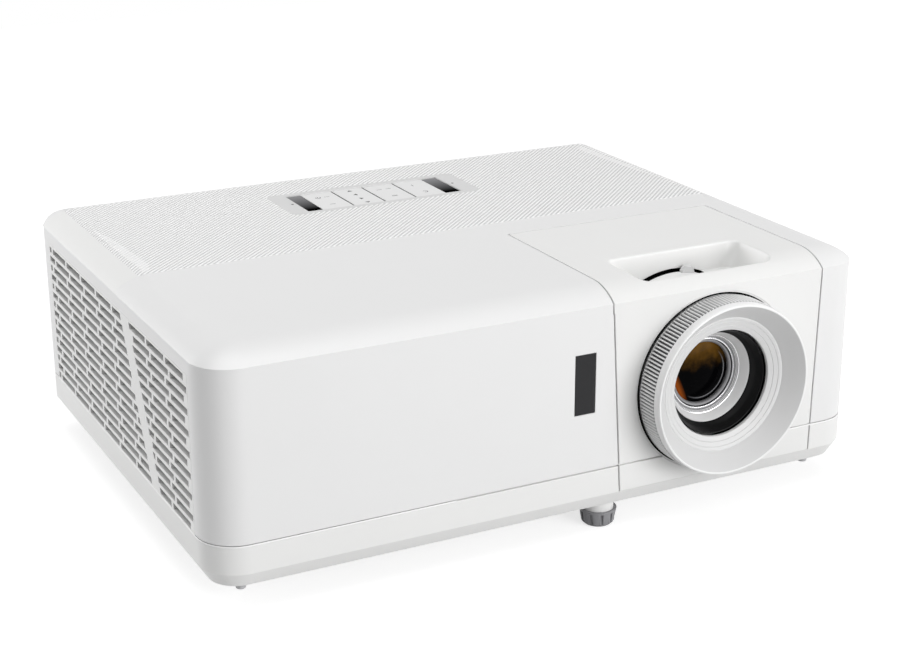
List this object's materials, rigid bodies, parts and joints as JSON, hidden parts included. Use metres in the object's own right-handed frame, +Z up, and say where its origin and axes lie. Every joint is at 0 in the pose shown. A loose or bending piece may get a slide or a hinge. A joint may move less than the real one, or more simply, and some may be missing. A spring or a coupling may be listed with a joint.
{
  "type": "home projector",
  "caption": "Home projector: a low white moulded case with rounded edges, a large off-centre zoom lens with a ribbed focus ring, slotted side grilles, a keypad and screw feet.",
  "frame": {"origin": "on the table, under the middle of the whole object's box, focus ring included", "axes": "+Z up, -Y out of the lens, +X to the right seen from the front"},
  "size_m": [0.374, 0.296, 0.134],
  "materials": {
    "white_abs": "moulded white ABS, satin gloss",
    "white_top": "moulded white ABS, satin gloss, ribbed towards the back of the top",
    "key_white": "moulded pale grey ABS, satin",
    "smoked": "smoked acrylic, polished",
    "ring_white": "moulded white ABS, satin, fine ribs",
    "lens_black": "black anodised look, matt",
    "lens_silver": "turned, satin rings",
    "glass": "coated optical glass",
    "grey_rubber": "moulded grey rubber",
    "steel": "zinc-plated steel",
    "brass": "turned brass",
    "magnesium": "die-cast light alloy, grey",
    "heat_aluminium": "extruded aluminium",
    "fan_black": "moulded black PBT",
    "board_green": "glass-fibre board with solder mask",
    "panel_dark": "moulded dark grey ABS, fine texture",
    "socket_black": "moulded black nylon",
    "socket_metal": "nickel-plated steel",
    "wheel_coat": "polished aluminium with a phosphor coat"
  },
  "bodies": {
    "case": {"bottom_case": "white_abs", "top_cover": "white_top", "lens_cover": "white_abs", "left_grille": "white_abs", "right_grille": "white_abs", "front_window": "smoked", "keypad_plate": "key_white", "keypad_panes": "smoked", "keypad_board": "board_green", "corner_bumpers": "grey_rubber", "case_screws": "steel", "engine_screws": "steel", "bracket_inserts": "brass", "lens_barrel": "lens_black", "rear_glass": "glass", "engine_housing": "magnesium", "relay_housing": "magnesium", "light_tunnel": "lens_black", "wheel_motor": "steel", "wheel_bracket": "heat_aluminium", "laser_bank": "steel", "laser_heatsink": "heat_aluminium", "imager_board": "board_green", "imager_heatsink": "heat_aluminium", "intake_fan_frame": "fan_black", "front_exhaust_fan_frame": "fan_black", "rear_exhaust_fan_frame": "fan_black", "main_board": "board_green", "power_board": "board_green", "power_components": "socket_black", "rear_panel": "panel_dark", "mains_inlet": "socket_black", "network_socket": "socket_metal", "media_sockets": "socket_metal", "data_socket": "socket_metal", "video_sockets": "socket_metal", "audio_sockets": "socket_black", "speaker": "fan_black"},
    "focus_ring": {"focus_ring": "ring_white", "focus_grip": "ring_white"},
    "front_group": {"front_cell": "lens_silver", "front_glass": "glass"},
    "zoom_ring": {"zoom_ring": "ring_white", "zoom_lever": "key_white"},
    "zoom_group": {"zoom_cell": "lens_black", "zoom_glass": "glass"},
    "phosphor_wheel": {"phosphor_wheel": "wheel_coat"},
    "power_key": {"power_key": "key_white"},
    "arrow_key": {"arrow_key": "key_white"},
    "source_key": {"source_key": "key_white"},
    "menu_key": {"menu_key": "key_white"},
    "front_foot_stem": {"front_foot_stem": "white_abs"},
    "front_foot_cap": {"front_foot_cap": "grey_rubber"},
    "left_rear_foot_stem": {"left_rear_foot_stem": "white_abs"},
    "left_rear_foot_cap": {"left_rear_foot_cap": "grey_rubber"},
    "right_rear_foot_stem": {"right_rear_foot_stem": "white_abs"},
    "right_rear_foot_cap": {"right_rear_foot_cap": "grey_rubber"},
    "intake_fan_rotor": {"intake_fan_rotor": "fan_black"},
    "front_exhaust_fan_rotor": {"front_exhaust_fan_rotor": "fan_black"},
    "rear_exhaust_fan_rotor": {"rear_exhaust_fan_rotor": "fan_black"}
  },
  "joints": [
    {"name": "focus_turn", "type": "hinge", "parent": "case", "child": "focus_ring", "pos_m": [0.093, -0.13, 0.075], "axis": [0, 1, 0], "range_deg": [-60, 60]},
    {"name": "focus_slide", "type": "slide", "parent": "case", "child": "front_group", "axis": [0, 1, 0], "range_m": [-0.0022, 0.0022]},
    {"name": "zoom_turn", "type": "hinge", "parent": "case", "child": "zoom_ring", "pos_m": [0.093, -0.13, 0.075], "axis": [0, 1, 0], "range_deg": [-25, 7]},
    {"name": "zoom_slide", "type": "slide", "parent": "case", "child": "zoom_group", "axis": [0, 1, 0], "range_m": [-0.006, 0.0017]},
    {"name": "power_key_press", "type": "slide", "parent": "case", "child": "power_key", "axis": [0, 0, -1], "range_m": [0, 0.0008], "stiffness_N_per_m": 900, "springref_m": -0.0004},
    {"name": "arrow_key_press", "type": "slide", "parent": "case", "child": "arrow_key", "axis": [0, 0, -1], "range_m": [0, 0.0008], "stiffness_N_per_m": 900, "springref_m": -0.0004},
    {"name": "source_key_press", "type": "slide", "parent": "case", "child": "source_key", "axis": [0, 0, -1], "range_m": [0, 0.0008], "stiffness_N_per_m": 900, "springref_m": -0.0004},
    {"name": "menu_key_press", "type": "slide", "parent": "case", "child": "menu_key", "axis": [0, 0, -1], "range_m": [0, 0.0008], "stiffness_N_per_m": 900, "springref_m": -0.0004},
    {"name": "front_foot_slide", "type": "slide", "parent": "case", "child": "front_foot_stem", "axis": [0, 0, -1], "range_m": [-0.004, 0.01]},
    {"name": "front_foot_turn", "type": "hinge", "parent": "front_foot_stem", "child": "front_foot_cap", "pos_m": [0.033, -0.114, 0], "axis": [0, 0, -1], "range_deg": [-721, 1801]},
    {"name": "left_rear_foot_slide", "type": "slide", "parent": "case", "child": "left_rear_foot_stem", "axis": [0, 0, -1], "range_m": [-0.004, 0.01]},
    {"name": "left_rear_foot_turn", "type": "hinge", "parent": "left_rear_foot_stem", "child": "left_rear_foot_cap", "pos_m": [-0.16, 0.12, 0], "axis": [0, 0, -1], "range_deg": [-721, 1801]},
    {"name": "right_rear_foot_slide", "type": "slide", "parent": "case", "child": "right_rear_foot_stem", "axis": [0, 0, -1], "range_m": [-0.004, 0.01]},
    {"name": "right_rear_foot_turn", "type": "hinge", "parent": "right_rear_foot_stem", "child": "right_rear_foot_cap", "pos_m": [0.16, 0.12, 0], "axis": [0, 0, -1], "range_deg": [-721, 1801]},
    {"name": "intake_fan_spin", "type": "hinge", "parent": "case", "child": "intake_fan_rotor", "pos_m": [-0.1685, 0.01, 0.075], "axis": [1, 0, 0], "continuous": true},
    {"name": "front_exhaust_fan_spin", "type": "hinge", "parent": "case", "child": "front_exhaust_fan_rotor", "pos_m": [0.1685, -0.024, 0.075], "axis": [1, 0, 0], "continuous": true},
    {"name": "rear_exhaust_fan_spin", "type": "hinge", "parent": "case", "child": "rear_exhaust_fan_rotor", "pos_m": [0.1685, 0.06, 0.075], "axis": [1, 0, 0], "continuous": true},
    {"name": "wheel_spin", "type": "hinge", "parent": "case", "child": "phosphor_wheel", "pos_m": [-0.02, -0.001, 0.075], "axis": [1, 0, 0], "continuous": true}
  ],
  "couplings": [
    {"joint": "focus_slide", "follows": "focus_turn", "m_per_rad": 0.002},
    {"joint": "zoom_slide", "follows": "zoom_turn", "m_per_rad": 0.0134},
    {"joint": "front_foot_turn", "follows": "front_foot_slide", "rad_per_m": 3141.6},
    {"joint": "left_rear_foot_turn", "follows": "left_rear_foot_slide", "rad_per_m": 3141.6},
    {"joint": "right_rear_foot_turn", "follows": "right_rear_foot_slide", "rad_per_m": 3141.6}
  ]
}
